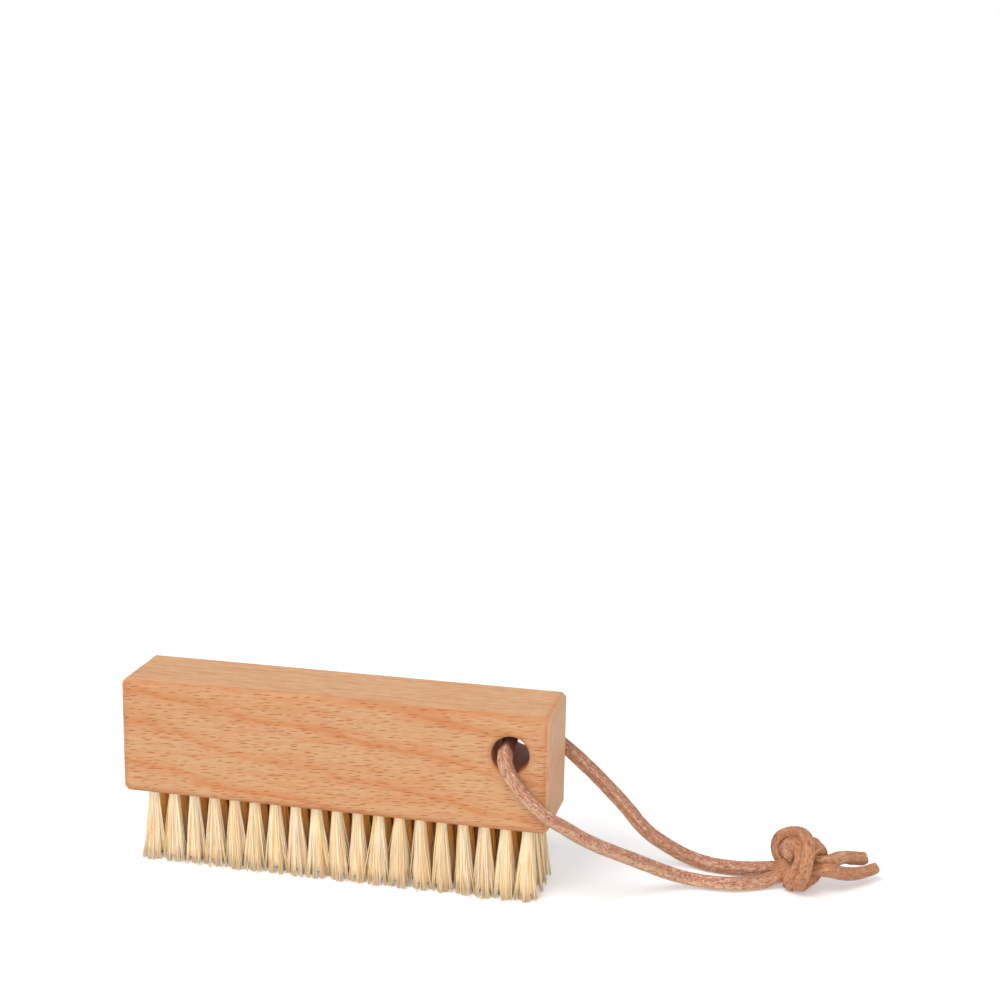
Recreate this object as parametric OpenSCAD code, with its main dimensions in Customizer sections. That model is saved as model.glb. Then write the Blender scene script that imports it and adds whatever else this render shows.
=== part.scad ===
// Wooden nail brush: a rounded hardwood block with four rows of natural bristle tufts, each held in
// its own blind hole by a small metal anchor, and one leather lace that runs through a cross hole
// near the block's end and is knotted to itself as a hanging loop.
// The brush stands on its bristle tips. X runs along the block towards the strap hole, Y from front to
// back, Z up, and the origin is in the middle of the bristle tips. All sizes are in millimetres.

/* [Block] */
// Length of the wooden block
block_length = 110; // [98:1:130]
// Depth of the block from front to back
block_depth = 22; // [20.5:0.5:23]
// Height of the block
block_height = 30; // [26:0.5:40]
// Rounding of the block's edges
edge_round = 2; // [0.8:0.1:2.2]

/* [Bristles] */
// Free length of the bristles under the block
bristle_length = 18.5; // [14:0.5:24]
// Number of tufts in each row along the block
tufts_along = 19; // [14:1:20]
// Number of rows of tufts across the block
tuft_rows = 4; // [3:1:4]
// Distance from the block's plain end to the middle of the first tuft
tuft_margin_plain = 7; // [5:0.1:9]
// Distance from the block's strap end to the middle of the last tuft
tuft_margin_strap = 5.8; // [5:0.1:9]
// Distance from the block's front or back to the middle of its outer row
tuft_margin_side = 3.8; // [3.2:0.1:4.2]
// Diameter of a tuft's blind hole
tuft_hole_d = 3; // [2.6:0.1:3.4]
// Depth of a tuft's blind hole
tuft_hole_depth = 8; // [6:0.5:10]
// Clearance of a tuft in its hole, on each side
tuft_clearance = 0.05; // [0.02:0.01:0.1]
// Width that a tuft has spread to at its tips
tuft_tip_d = 4.2; // [3.6:0.1:4.4]
// Number of strands round the middle strand of a tuft
strands_round = 5; // [4:1:5]
// Width of a strand at its root
strand_root_w = 0.9; // [0.6:0.05:0.95]
// Width of a strand at its tip
strand_tip_w = 1.2; // [0.8:0.05:1.3]

/* [Anchors] */
// Length of an anchor across its hole, with both ends in the wood
anchor_length = 3.8; // [3.5:0.1:4.2]
// Height of an anchor
anchor_height = 1.8; // [1.2:0.1:2.2]
// Thickness of an anchor's flat wire
anchor_thickness = 0.35; // [0.25:0.05:0.5]
// Depth of bristle folded over an anchor
anchor_cover = 1; // [0.8:0.1:1.4]

/* [Strap] */
// Diameter of the strap hole
strap_hole_d = 9.2; // [8.8:0.1:9.8]
// Distance from the block's end to the strap hole's axis
strap_hole_inset = 9.8; // [9.4:0.1:10.5]
// Distance from the block's top to the strap hole's axis
strap_hole_drop = 10.4; // [10:0.1:11]
// Rounding of the strap hole's two mouths
strap_hole_round = 1.4; // [0.8:0.1:2]
// Width of the square-cut leather lace
lace_w = 3.2; // [2.6:0.1:3.4]
// Width that the lace is pressed to inside its knot
knot_lace_w = 2.4; // [2:0.1:2.4]

/* [Hidden] */
// Overrun of a cut past the face that it opens
overrun = 1;
// Height of the block's underside, which is the free length of the bristles
block_bottom = bristle_length;
block_top = block_bottom + block_height;
strap_hole_x = block_length / 2 - strap_hole_inset;
strap_hole_z = block_top - strap_hole_drop;
// Tuft places: even steps between the margins
tuft_pitch = (block_length - tuft_margin_plain - tuft_margin_strap) / (tufts_along - 1);
row_pitch = (block_depth - 2 * tuft_margin_side) / (tuft_rows - 1);
// Each tuft's plug fills its hole but for the clearance, and its strands start this deep in the plug
plug_d = tuft_hole_d - 2 * tuft_clearance;
strand_sink = 0.5;
// Bare edge of the plug outside its strands
strand_inset = 0.1;
strand_sides = 3;
// Share of the gap between neighbouring tufts' tips that a tuft may lean over
lean_share = 0.7;
// The turn from one tuft to the next, which no two neighbours share
golden_angle = 137.5;
anchor_bottom = block_bottom + tuft_hole_depth - anchor_cover - anchor_height;
// Share of the lace's half width at which its rounded corners start
lace_corner_share = 0.6;
// Reach of the ball that rounds off a corner of the block, as a share of the edges' rounding
corner_reach_share = 1.8;
// Sides of a round in a mesh, and the fewest that still count as round, for the many tuft holes and plugs
round_fn = 20;
tuft_fn = 13;

// The lace's route, from its front end to its back end, as points along its middle. The two ends lie
// side by side through an overhand knot: in at the left, over to the right, down, round underneath,
// up the front, over the top, down the left and out to the right below.
front_tail_route = [[132.3, 26.2, 3.1], [128.5, 21.5, 3.5], [124.5, 17, 5]];
front_knot_route = [
    [121, 14.5, 6.5], [118, 15, 6], [115.5, 17.5, 5], [112.5, 20, 4.5], [109.5, 21.5, 5], [108, 22.5, 8],
    [109, 21.5, 11.5], [112, 20, 13.5], [114.5, 17, 14], [116, 13, 13], [116, 10.5, 10.5], [115.5, 10, 7],
    [114.5, 11, 4], [114.5, 13.5, 2], [115.5, 16, 2], [117.5, 18, 3], [118.5, 19.5, 5.5], [119, 20, 8],
    [118.5, 18.5, 10.5], [117.5, 17, 11], [115.5, 15, 9], [113, 15.5, 6], [109.5, 15.5, 3.5]
];
front_run_route = [
    [105.5, 14, 2], [98, 10.5, 2], [92.5, 10, 2], [87, 9, 2.8], [82.5, 6, 5], [77.5, 2, 8.3],
    [72.5, -2, 11.7], [67.5, -5.5, 14.8], [62.5, -8.5, 18.2], [58.5, -11, 21.5], [55.5, -13, 24],
    [52.5, -13.5, 26.5], [50, -13.5, 29], [47.5, -13.5, 32]
];
hole_route = [
    [45.4, -13.3, 35.2], [44.5, -12.6, 36.8], [44.1, -10.6, 38.5], [44.05, -7.5, 39.9], [44.2, -3, 40.4],
    [44.7, 1, 40.4], [45.5, 5, 40.2], [46.5, 9, 39.4], [47.4, 12.4, 37.4]
];
back_run_route = [
    [50.5, 14, 35], [54.5, 14.5, 32], [58.5, 15, 28.5], [64, 16, 23], [69.5, 17, 17], [75, 18, 10.5],
    [80.5, 20, 6], [86, 21.5, 2.8], [92, 20.5, 2], [97.5, 20, 2], [105.5, 19.5, 3]
];
back_knot_route = [
    [109, 18, 4.5], [112, 17.5, 6.5], [114.5, 17.5, 9.5], [115, 18.5, 11], [116.5, 20.5, 11], [117.5, 22, 8.5],
    [117, 21.5, 5.5], [115.5, 20, 2.5], [113, 17.5, 2], [112, 13.5, 2], [112.5, 12.5, 5], [114, 12, 7.5],
    [114.5, 12.5, 9.5], [114, 14, 11.5], [113, 16, 12], [111.5, 18, 11.5], [110.5, 20, 9.5], [110, 20.5, 8],
    [111, 21, 7], [113.5, 21, 6.5], [116, 19, 7], [118.5, 17, 7.5], [121, 17.5, 7.5]
];
back_tail_route = [[124, 21, 7.5], [127, 26, 5.5], [129.4, 29.2, 4.3]];
lace_route = concat(
    front_tail_route, front_knot_route, front_run_route, hole_route, back_run_route, back_knot_route,
    back_tail_route
);
// Index of the first point of each stretch of the lace
front_knot_start = len(front_tail_route);
front_run_start = front_knot_start + len(front_knot_route);
hole_start = front_run_start + len(front_run_route);
back_run_start = hole_start + len(hole_route);
back_knot_start = back_run_start + len(back_run_route);
back_tail_start = back_knot_start + len(back_knot_route);
lace_end = len(lace_route) - 1;

function tuft_x(column) = -block_length / 2 + tuft_margin_plain + (column - 1) * tuft_pitch;
function tuft_y(row) = -block_depth / 2 + tuft_margin_side + (row - 1) * row_pitch;

// Directions along the lace, and a side direction carried along it without twist
function unit(v) = v / norm(v);
function step_before(i) = i > 0 ? unit(lace_route[i] - lace_route[i - 1]) : [0, 0, 0];
function step_after(i) = i < lace_end ? unit(lace_route[i + 1] - lace_route[i]) : [0, 0, 0];
function lace_along(i) = unit(step_before(i) + step_after(i));
function square_to(v, along) = unit(v - (v * along) * along);
function carried_sides(i = 0, side = [0, 0, 1], found = []) =
    i > lace_end ? found
    : let (next = square_to(side, lace_along(i))) carried_sides(i + 1, next, concat(found, [next]));
lace_sides = carried_sides();

// The lace is narrow inside its knot, up to where its tails leave
function in_front_pass(i) = i >= front_knot_start && i < front_run_start - 1;
function in_back_pass(i) = i > back_knot_start && i < back_tail_start;
function lace_width_at(i) = in_front_pass(i) || in_back_pass(i) ? knot_lace_w : lace_w;

// Outline of a square lace with rounded corners, as eight points
function lace_outline(w) =
    let (half = w / 2, corner = half * lace_corner_share)
    [
        [half, corner], [corner, half], [-corner, half], [-half, corner],
        [-half, -corner], [-corner, -half], [corner, -half], [half, -corner]
    ];
function lace_ring(i) =
    let (side = lace_sides[i], up = cross(lace_along(i), side))
    [for (p = lace_outline(lace_width_at(i))) lace_route[i] + p[0] * side + p[1] * up];

// Triangles of a closed tube of rings, each ring with the same number of sides
function tube_faces(rings, sides) = concat(
    [for (k = [1:sides - 2]) [0, k, k + 1]],
    [for (r = [0:rings - 2], k = [0:sides - 1])
        let (a = r * sides + k, b = r * sides + (k + 1) % sides) each [[a, a + sides, b + sides], [a, b + sides, b]]],
    [for (k = [1:sides - 2]) let (last = (rings - 1) * sides) [last, last + k + 1, last + k]]
);

// The lace from one point of its route to another
module lace(from, to) {
    polyhedron(
        points = [for (i = [from:to]) each lace_ring(i)],
        faces = tube_faces(to - from + 1, len(lace_outline(lace_w)))
    );
}

// Least distance between the middles of two stretches of the lace, measured also halfway between points
function lace_middle(i) = i % 2 == 0 ? lace_route[i / 2]
    : (lace_route[(i - 1) / 2] + lace_route[(i + 1) / 2]) / 2;
// Half steps along the lace that count as the same bend, and aren't measured
near_steps = 8;
function least_gap(a, b) = min([
    for (i = [2 * a[0]:2 * a[1]], j = [2 * b[0]:2 * b[1]])
        if (j - i > near_steps) norm(lace_middle(i) - lace_middle(j))
]);
front_pass = [front_knot_start, front_run_start];
back_pass = [back_knot_start - 1, back_tail_start];
echo(knot_middles_apart_front = least_gap(front_pass, front_pass),
    knot_middles_apart_back = least_gap(back_pass, back_pass),
    knot_middles_apart_between = least_gap(front_pass, back_pass));

// Rectangle with round corners, in the plane, round the origin
module rounded_rectangle(a, b, r) {
    square([a - 2 * r, b], center = true);
    square([a, b - 2 * r], center = true);
    for (x = [-1, 1], y = [-1, 1])
        translate([x * (a / 2 - r), y * (b / 2 - r)]) circle(r = r, $fn = round_fn);
}

// Box with every edge rounded, round the origin
module rounded_box(a, b, c, r) {
    intersection() {
        linear_extrude(c, center = true) rounded_rectangle(a, b, r);
        rotate([90, 0, 0]) linear_extrude(b, center = true) rounded_rectangle(a, c, r);
        rotate([90, 0, 90]) linear_extrude(a, center = true) rounded_rectangle(b, c, r);
    }
}

// Cut that takes the point off the corner at the origin of a rounded box in the positive octant, down to
// where a ball corner would be
module corner_cut(r) {
    reach = corner_reach_share * r;
    difference() {
        translate([-overrun, -overrun, -overrun]) cube(reach + overrun);
        translate([reach, reach, reach]) sphere(r = sqrt(3) * reach - (sqrt(3) - 1) * r, $fn = round_fn);
    }
}

// Cut for one mouth of the strap hole: a flare with a round edge, its mouth at z = 0 and its throat below
module mouth_flare() {
    mirror([0, 0, 1]) rotate_extrude($fn = round_fn) difference() {
        translate([0, -overrun]) square([strap_hole_d / 2 + strap_hole_round, overrun + strap_hole_round]);
        translate([strap_hole_d / 2 + strap_hole_round, strap_hole_round]) circle(r = strap_hole_round, $fn = round_fn);
    }
}

// The cross hole for the strap, along Y, as a cut
module strap_hole() {
    translate([strap_hole_x, 0, strap_hole_z]) rotate([90, 0, 0]) {
        cylinder(d = strap_hole_d, h = block_depth + 2 * overrun, center = true, $fn = round_fn);
        for (face = [0, 1]) mirror([0, 0, face]) translate([0, 0, block_depth / 2]) mouth_flare();
    }
}

// An anchor's own shape, at its place over the tuft at the origin
module anchor_shape() {
    translate([-anchor_length / 2, -anchor_thickness / 2, anchor_bottom])
        cube([anchor_length, anchor_thickness, anchor_height]);
}

module at_tuft(column, row) {
    translate([tuft_x(column), tuft_y(row), 0]) children();
}

module block() {
    color("#DDAA78") difference() {
        translate([0, 0, block_bottom + block_height / 2])
            rounded_box(block_length, block_depth, block_height, edge_round);
        for (end = [0, 1], side = [0, 1], top = [0, 1])
            translate([0, 0, block_bottom + block_height / 2])
                mirror([end, 0, 0]) mirror([0, side, 0]) mirror([0, 0, top])
                    translate([-block_length / 2, -block_depth / 2, -block_height / 2]) corner_cut(edge_round);
        strap_hole();
        for (column = [1:tufts_along], row = [1:tuft_rows]) at_tuft(column, row) {
            translate([0, 0, block_bottom - overrun])
                cylinder(d = tuft_hole_d, h = tuft_hole_depth + overrun, $fn = tuft_fn);
            anchor_shape();
        }
    }
}

// One strand: a thin wedge from inside the plug to the flat plane of the tips
module strand(root, tip, turn) {
    function strand_ring(middle, w, z) = [
        for (k = [0:strand_sides - 1])
            let (a = turn + 360 * k / strand_sides) [middle[0] + w / 2 * cos(a), middle[1] + w / 2 * sin(a), z]
    ];
    polyhedron(
        points = concat(strand_ring(tip, strand_tip_w, 0), strand_ring(root, strand_root_w, block_bottom + strand_sink)),
        faces = tube_faces(2, strand_sides)
    );
}

// One tuft: the folded bristle packed in its hole, and strands that spread evenly so that none cross
module bristle_tuft(turn) {
    root_r = plug_d / 2 - strand_root_w / 2 - strand_inset;
    tip_r = tuft_tip_d / 2 - strand_tip_w / 2;
    lean = (tuft_pitch - tuft_tip_d) / 2 * lean_share * sin(turn);
    difference() {
        translate([0, 0, block_bottom]) cylinder(d = plug_d, h = tuft_hole_depth, $fn = tuft_fn);
        anchor_shape();
    }
    strand([0, 0], [lean, 0], turn);
    for (k = [1:strands_round]) {
        a = turn + 360 * k / strands_round;
        strand(root_r * [cos(a), sin(a)], tip_r * [cos(a), sin(a)] + [lean, 0], a);
    }
}

module bristle_tufts(column) {
    color("#EBD6A8") for (row = [1:tuft_rows])
        at_tuft(column, row) bristle_tuft(golden_angle * (column * tuft_rows + row));
}

module tuft_anchors(column) {
    color("#B9BBBD") for (row = [1:tuft_rows]) at_tuft(column, row) anchor_shape();
}

module strap_through_hole() {
    color("#A8694F") lace(hole_start, back_run_start);
}

module strap_front_strand() {
    color("#BE7F62") lace(front_run_start, hole_start);
}

module strap_back_strand() {
    color("#B5765A") lace(back_run_start, back_knot_start);
}

module strap_knot() {
    color("#CF9068") {
        lace(front_knot_start, front_run_start);
        lace(back_knot_start, back_tail_start);
    }
}

module strap_tails() {
    color("#D69A6C") {
        lace(0, front_knot_start);
        lace(back_tail_start, lace_end);
    }
}

block();
strap_through_hole();
strap_front_strand();
strap_back_strand();
strap_knot();
strap_tails();
for (column = [1:tufts_along]) {
    bristle_tufts(column);
    tuft_anchors(column);
}
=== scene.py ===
# Wooden nail brush: dresses the frame's block in beech, plants its bristles, ties its leather lace and
# sets a plain pale studio round it.
# Lengths are in metres where nothing else is said, in the frame's axes: X along the block towards the lace
# hole, Y from front to back, Z up, with the origin in the middle of the bristle tips.

import math
from dataclasses import dataclass

import bmesh
import bpy
from mathutils import Euler, Matrix, Vector, noise


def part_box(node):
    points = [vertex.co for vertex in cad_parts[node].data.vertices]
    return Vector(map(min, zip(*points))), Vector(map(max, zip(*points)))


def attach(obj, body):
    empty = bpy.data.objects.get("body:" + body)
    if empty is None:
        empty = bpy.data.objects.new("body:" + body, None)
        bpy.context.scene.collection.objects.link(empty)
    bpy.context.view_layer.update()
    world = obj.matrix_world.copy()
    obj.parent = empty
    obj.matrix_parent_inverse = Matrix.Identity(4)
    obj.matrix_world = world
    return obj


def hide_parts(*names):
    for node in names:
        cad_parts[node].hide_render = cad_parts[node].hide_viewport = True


bl_info = {
    "name": "Nail Brush",
    "version": (1, 0, 0),
    "blender": (4, 5, 0),
    "location": "3D View > Sidebar > Nail Brush",
    "description": "Dresses a wooden nail brush: beech block, bristle tufts and a knotted leather lace",
    "category": "Object",
}

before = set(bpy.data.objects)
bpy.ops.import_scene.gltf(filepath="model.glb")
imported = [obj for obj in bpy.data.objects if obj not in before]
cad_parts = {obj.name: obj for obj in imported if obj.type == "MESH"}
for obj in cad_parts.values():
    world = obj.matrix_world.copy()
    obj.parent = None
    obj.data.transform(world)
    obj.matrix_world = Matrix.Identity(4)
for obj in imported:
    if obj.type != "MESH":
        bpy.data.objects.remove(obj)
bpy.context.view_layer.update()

MM = 0.001
COLUMNS = sum(name.startswith("bristle_tufts_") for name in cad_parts)
BLOCK_LOW, BLOCK_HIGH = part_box("block")

# The lace's route from its front end to its back end, in millimetres, as the part's source has it
FRONT_TAIL_ROUTE = ((132.3, 26.2, 3.1), (128.5, 21.5, 3.5), (124.5, 17, 5))
FRONT_KNOT_ROUTE = (
    (121, 14.5, 6.5), (118, 15, 6), (115.5, 17.5, 5), (112.5, 20, 4.5), (109.5, 21.5, 5), (108, 22.5, 8),
    (109, 21.5, 11.5), (112, 20, 13.5), (114.5, 17, 14), (116, 13, 13), (116, 10.5, 10.5), (115.5, 10, 7),
    (114.5, 11, 4), (114.5, 13.5, 2), (115.5, 16, 2), (117.5, 18, 3), (118.5, 19.5, 5.5), (119, 20, 8),
    (118.5, 18.5, 10.5), (117.5, 17, 11), (115.5, 15, 9), (113, 15.5, 6), (109.5, 15.5, 3.5),
)
FRONT_RUN_ROUTE = (
    (105.5, 14, 2), (98, 10.5, 2), (92.5, 10, 2), (87, 9, 2.8), (82.5, 6, 5), (77.5, 2, 8.3), (72.5, -2, 11.7),
    (67.5, -5.5, 14.8), (62.5, -8.5, 18.2), (58.5, -11, 21.5), (55.5, -13, 24), (52.5, -13.5, 26.5),
    (50, -13.5, 29), (47.5, -13.5, 32),
)
HOLE_ROUTE = (
    (45.4, -13.3, 35.2), (44.5, -12.6, 36.8), (44.1, -10.6, 38.5), (44.05, -7.5, 39.9), (44.2, -3, 40.4),
    (44.7, 1, 40.4), (45.5, 5, 40.2), (46.5, 9, 39.4), (47.4, 12.4, 37.4),
)
BACK_RUN_ROUTE = (
    (50.5, 14, 35), (54.5, 14.5, 32), (58.5, 15, 28.5), (64, 16, 23), (69.5, 17, 17), (75, 18, 10.5),
    (80.5, 20, 6), (86, 21.5, 2.8), (92, 20.5, 2), (97.5, 20, 2), (105.5, 19.5, 3),
)
BACK_KNOT_ROUTE = (
    (109, 18, 4.5), (112, 17.5, 6.5), (114.5, 17.5, 9.5), (115, 18.5, 11), (116.5, 20.5, 11), (117.5, 22, 8.5),
    (117, 21.5, 5.5), (115.5, 20, 2.5), (113, 17.5, 2), (112, 13.5, 2), (112.5, 12.5, 5), (114, 12, 7.5),
    (114.5, 12.5, 9.5), (114, 14, 11.5), (113, 16, 12), (111.5, 18, 11.5), (110.5, 20, 9.5), (110, 20.5, 8),
    (111, 21, 7), (113.5, 21, 6.5), (116, 19, 7), (118.5, 17, 7.5), (121, 17.5, 7.5),
)
BACK_TAIL_ROUTE = ((124, 21, 7.5), (127, 26, 5.5), (129.4, 29.2, 4.3))
STRETCHES = (
    FRONT_TAIL_ROUTE, FRONT_KNOT_ROUTE, FRONT_RUN_ROUTE, HOLE_ROUTE, BACK_RUN_ROUTE, BACK_KNOT_ROUTE,
    BACK_TAIL_ROUTE,
)
# Places in the route, counted in its points, where the lace's pieces meet
FRONT_TAIL_END = len(FRONT_TAIL_ROUTE)
FRONT_RUN_START = FRONT_TAIL_END + len(FRONT_KNOT_ROUTE)
HOLE_START = FRONT_RUN_START + len(FRONT_RUN_ROUTE)
HOLE_MIDDLE = HOLE_START + 5
BACK_RUN_START = HOLE_START + len(HOLE_ROUTE)
BACK_KNOT_START = BACK_RUN_START + len(BACK_RUN_ROUTE)
BACK_TAIL_START = BACK_KNOT_START + len(BACK_KNOT_ROUTE)
KNOT_MIDDLE = Vector((0.1145, 0.0165, 0.0075))
# Where the leather is pressed into folds inside the knot's loop, and how far the folds reach
FOLDS_MIDDLE = Vector((0.1117, 0.0153, 0.0106))
FOLDS_REACH = Vector((0.0026, 0.0025, 0.0032))
FOLDS_FALL = Vector((0.57, 0, -0.82))
# The lace hole's middle and radius, as the part's source has them
HOLE_X, HOLE_Z = 0.0452, 0.0381
HOLE_RADIUS = 0.0046

# The lace's flat side faces out of the knot within this distance of the knot's middle, and up elsewhere
KNOT_SIDE = 0.0105
# Distances from the knot's middle over which it is held to that, and over which the knot's pressed shape ends
KNOT_HOLD = (0.002, 0.0045)
KNOT_PRESS = (0.007, 0.011)
# How strongly it is held to face up, and the weakest hold that the next rings follow
LEVEL_HOLD = 0.1
LEAST_HOLD = 0.05
# How stiff the lace is against being twisted, and the passes that even out its twist
TWIST_STIFFNESS = 20.0
TWIST_PASSES = 300
# Mesh rings over which each tail takes its own thickness
FRONT_TAIL_EASE = (0, 8)
BACK_TAIL_EASE = (-4, 4)
# How uneven the lace's sides are, and how close together their bumps are along it and round it
UNEVEN = 0.045
UNEVEN_ALONG = 0.45
UNEVEN_ROUND = 1.5
# How strained the leather of the folds is, as a share
FOLDS_STRAIN = 0.4

# One growth ring, as (age, share) stops, and how far below the top front edge the first one starts: in
# millimetres, and as a share of a ring
RING_STOPS = ((0.0, 1.0), (0.07, 0.4), (0.2, 0.06), (0.65, 0.06), (0.88, 0.4), (1.0, 1.0))
RING_DROP = 2.0
RING_SHIFT = 0.2
# How far the rings stray from straight lines, as shares of a ring, and how much the rays fall along the block
RING_WARP = 0.75
RING_FINE_WARP = 0.22
RAY_FALL = 0.1
# Distances from the brush's middle, in millimetres, over which the painted shade and bounce light deep between
# the tufts ends
GAP_SHADE_X = (47.0, 49.0)
GAP_SHADE_Y = (3.6, 6.4)

# Size of the locks and of the clumps that fibres gather in, and how much a clump leans its own way
LOCK_SIZE = 0.00085
CLUMP_SIZE = 0.0011
CLUMP_LEAN = 0.45
# How far chance moves a fibre's tip and its middle
TIP_JITTER = 0.00025
BOW_JITTER = 0.00035
# Share of the fibres that stray, and where they start: past the first column of tufts
STRAY_SHARE = 0.008
STRAY_START = -0.046
# Distances from the brush's middle over which the tufts' lean ends
LEAN_END = (0.036, 0.047)
# Share of a fibre's length that is in its hole, and how sharply it bends outwards below the wood
SUNK_SHARE = 0.2
FLARE = 1.35
# A tuft's packed middle: its shares of the radius at the root and at the tips, and how many times the ragged
# tips' height it ends above them
CORE_ROOT = 0.93
CORE_TIP = 0.66
CORE_SHORT = 1.5
# What the bristle tree keeps for each fibre: its tuft's middle, then its root, tip and bow as steps from there,
# half its width at both ends, and its shade; and for each point of it, its place on a straight fibre, and how
# far down the free part it is
FIBRE_VALUES = {
    "middle": "FLOAT_VECTOR", "root": "FLOAT_VECTOR", "tip": "FLOAT_VECTOR", "bow": "FLOAT_VECTOR",
    "half": "FLOAT", "tip_half": "FLOAT", "shade": "FLOAT", "unit": "FLOAT_VECTOR", "along": "FLOAT",
}
SHADING_VALUES = ("shade", "along")

# Each lamp's breadth, tilt from overhead and turn about Z, in degrees, by the name of its strength
LAMPS = {"key": (30, 36, -28), "fill": (50, 80, 16)}
WHITE = (1.0, 1.0, 1.0, 1.0)
FLOOR_COLOUR = (0.88, 0.88, 0.88, 1.0)
FLOOR_GLOW = 0.3


def colour(red, green, blue):
    """A colour as Blender holds it, from the 0 to 255 values that a screen shows."""
    def linear(value):
        share = value / 255
        return share / 12.92 if share <= 0.04045 else ((share + 0.055) / 1.055) ** 2.4
    return linear(red), linear(green), linear(blue), 1.0


def colour_property(name, description, *shade):
    return bpy.props.FloatVectorProperty(
        name=name, description=description, subtype="COLOR", size=4, min=0, max=1, default=colour(*shade)
    )


def length_property(name, description, default):
    return bpy.props.FloatProperty(
        name=name, description=description, subtype="DISTANCE", unit="LENGTH", min=0, default=default
    )


def angle_property(name, description, degrees):
    return bpy.props.FloatProperty(
        name=name, description=description, subtype="ANGLE", unit="ROTATION", default=math.radians(degrees)
    )


def number_property(name, description, default):
    return bpy.props.FloatProperty(name=name, description=description, min=0, default=default)


class BeechSettings(bpy.types.PropertyGroup):
    """Colours and grain of the beech block"""

    base: colour_property("Base", "Wood between the growth rings", 206, 164, 121)
    top: colour_property("Top", "Wood on the top and underside", 225, 178, 131)
    end: colour_property("End grain", "Wood on the two ends", 224, 180, 141)
    ring: colour_property("Ring", "Reddish wood in the growth rings", 199, 126, 76)
    fleck: colour_property("Fleck", "Short brown rays in the wood", 164, 88, 46)
    # Partly painted shade: the edge colour is partly the wood's own darker rounded edges, partly darkening
    # against the light those edges catch
    edge: colour_property("Edge", "Darker wood along the edges", 190, 114, 66)
    # Painted shade: this colour darkens the wood inside the lace hole, where shade falls
    painted_bore_shade: colour_property("Bore", "Dark wood inside the lace hole", 190, 114, 74)
    ring_height: length_property("Ring height", "Height between growth rings on the front", 10.3 * MM)
    ring_depth: length_property("Ring depth", "Depth between growth rings on the top", 2.5 * MM)
    ring_fall: number_property("Ring fall", "Fall of the rings towards the lace hole, for each metre", 0.15)
    fleck_length: length_property("Fleck length", "Usual length of a fleck", 2.5 * MM)
    fleck_width: length_property("Fleck width", "Usual width of a fleck", 0.24 * MM)
    edge_width: length_property("Edge width", "Width of the darker wood along the edges", 2.4 * MM)


class BristleSettings(bpy.types.PropertyGroup):
    """Counts, sizes and colours of the bristles"""

    fibres: bpy.props.IntProperty(name="Fibres", description="Fibres in each tuft", default=250, min=1, max=400)
    root_radius: length_property("Root radius", "Radius of a tuft where it leaves its hole", 1.16 * MM)
    tip_radius: length_property("Tip radius", "Radius that a tuft spreads to at its tips", 2.9 * MM)
    lean: length_property("Lean", "How far the tufts' tips lean towards the lace hole", 0.5 * MM)
    width: length_property("Fibre width", "Width of a thick fibre", 0.34 * MM)
    ragged: length_property("Ragged tips", "Most that a tip ends above the others", 1.3 * MM)
    clump: bpy.props.FloatProperty(
        name="Clumping", description="How much fibres lean together in locks", default=0.48, min=0, max=1
    )
    stray: length_property("Stray", "How far a stray fibre leans out of its tuft", 1.6 * MM)
    sink: length_property("Depth in the hole", "Depth that a tuft fills of its hole", 7.8 * MM)
    pale: colour_property("Pale", "Palest fibres", 255, 242, 216)
    yellow: colour_property("Yellow", "Yellowest fibres", 255, 214, 146)
    # Painted shade and bounce light: the saturated orange given to the fibres deep between the tufts
    inner: colour_property("Inner", "Fibres deep between the tufts", 255, 184, 90)


class LaceSettings(bpy.types.PropertyGroup):
    """Sizes and colours of the leather lace"""

    width: length_property("Width", "Width and thickness of the square lace", 3.2 * MM)
    knot_width: length_property("Width in the knot", "Width that the lace is pressed to in its knot", 3.3 * MM)
    knot_thickness: length_property("Thickness in the knot", "Thickness of the lace in its knot", 2.7 * MM)
    tail_thickness: length_property("Tail thickness", "Thickness of the lace's two tails", 2.7 * MM)
    front_length: length_property("Front strand", "Front length, from the hole's middle to the knot", 96 * MM)
    back_length: length_property("Back strand", "Back length, from the hole's middle to the knot", 90 * MM)
    step: length_property("Step", "Length of one mesh ring of the lace", 0.6 * MM)
    roll: angle_property("Roll", "Turn of the lace's flat side from level", 28)
    skin: colour_property("Skin", "Leather of the smooth side", 210, 161, 124)
    red: colour_property("Red", "Redder leather of the cut sides", 191, 129, 102)
    dark: colour_property("Dark", "Dark specks in the leather", 146, 92, 72)
    # Partly painted highlight: pale edges from wear, and also where the lace's corners catch the light
    wear_and_highlight: colour_property("Worn", "Pale worn edges", 227, 192, 162)
    knot: colour_property("Knot", "Leather stretched over the knot and at the tails", 194, 131, 86)
    # Painted shade on the lace where it runs inside the hole
    painted_hole_shade: colour_property("In the hole", "Darker leather inside the hole", 86, 50, 38)


class StageSettings(bpy.types.PropertyGroup):
    """Camera, light and floor"""

    camera: bpy.props.FloatVectorProperty(
        name="Camera", description="Place of the camera", subtype="TRANSLATION", unit="LENGTH", size=3,
        default=(0.134, -0.4262, 0.2003)
    )
    yaw: angle_property("Yaw", "Turn of the camera to the left", 12.54)
    pitch: angle_property("Pitch", "Tilt of the camera downwards", 13.13)
    roll: angle_property("Roll", "Roll of the camera", 1.08)
    lens: number_property("Lens", "Focal length in millimetres", 67.54)
    sensor: number_property("Sensor", "Sensor width in millimetres", 36)
    key: number_property("Key light", "Strength of the key light", 1.5)
    fill: number_property("Fill light", "Strength of the low light in front", 1.25)
    sky: number_property("Sky", "Strength of the light all round", 0.5)
    floor_radius: length_property("Floor radius", "Distance from the middle of the floor to its sides", 40)


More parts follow.
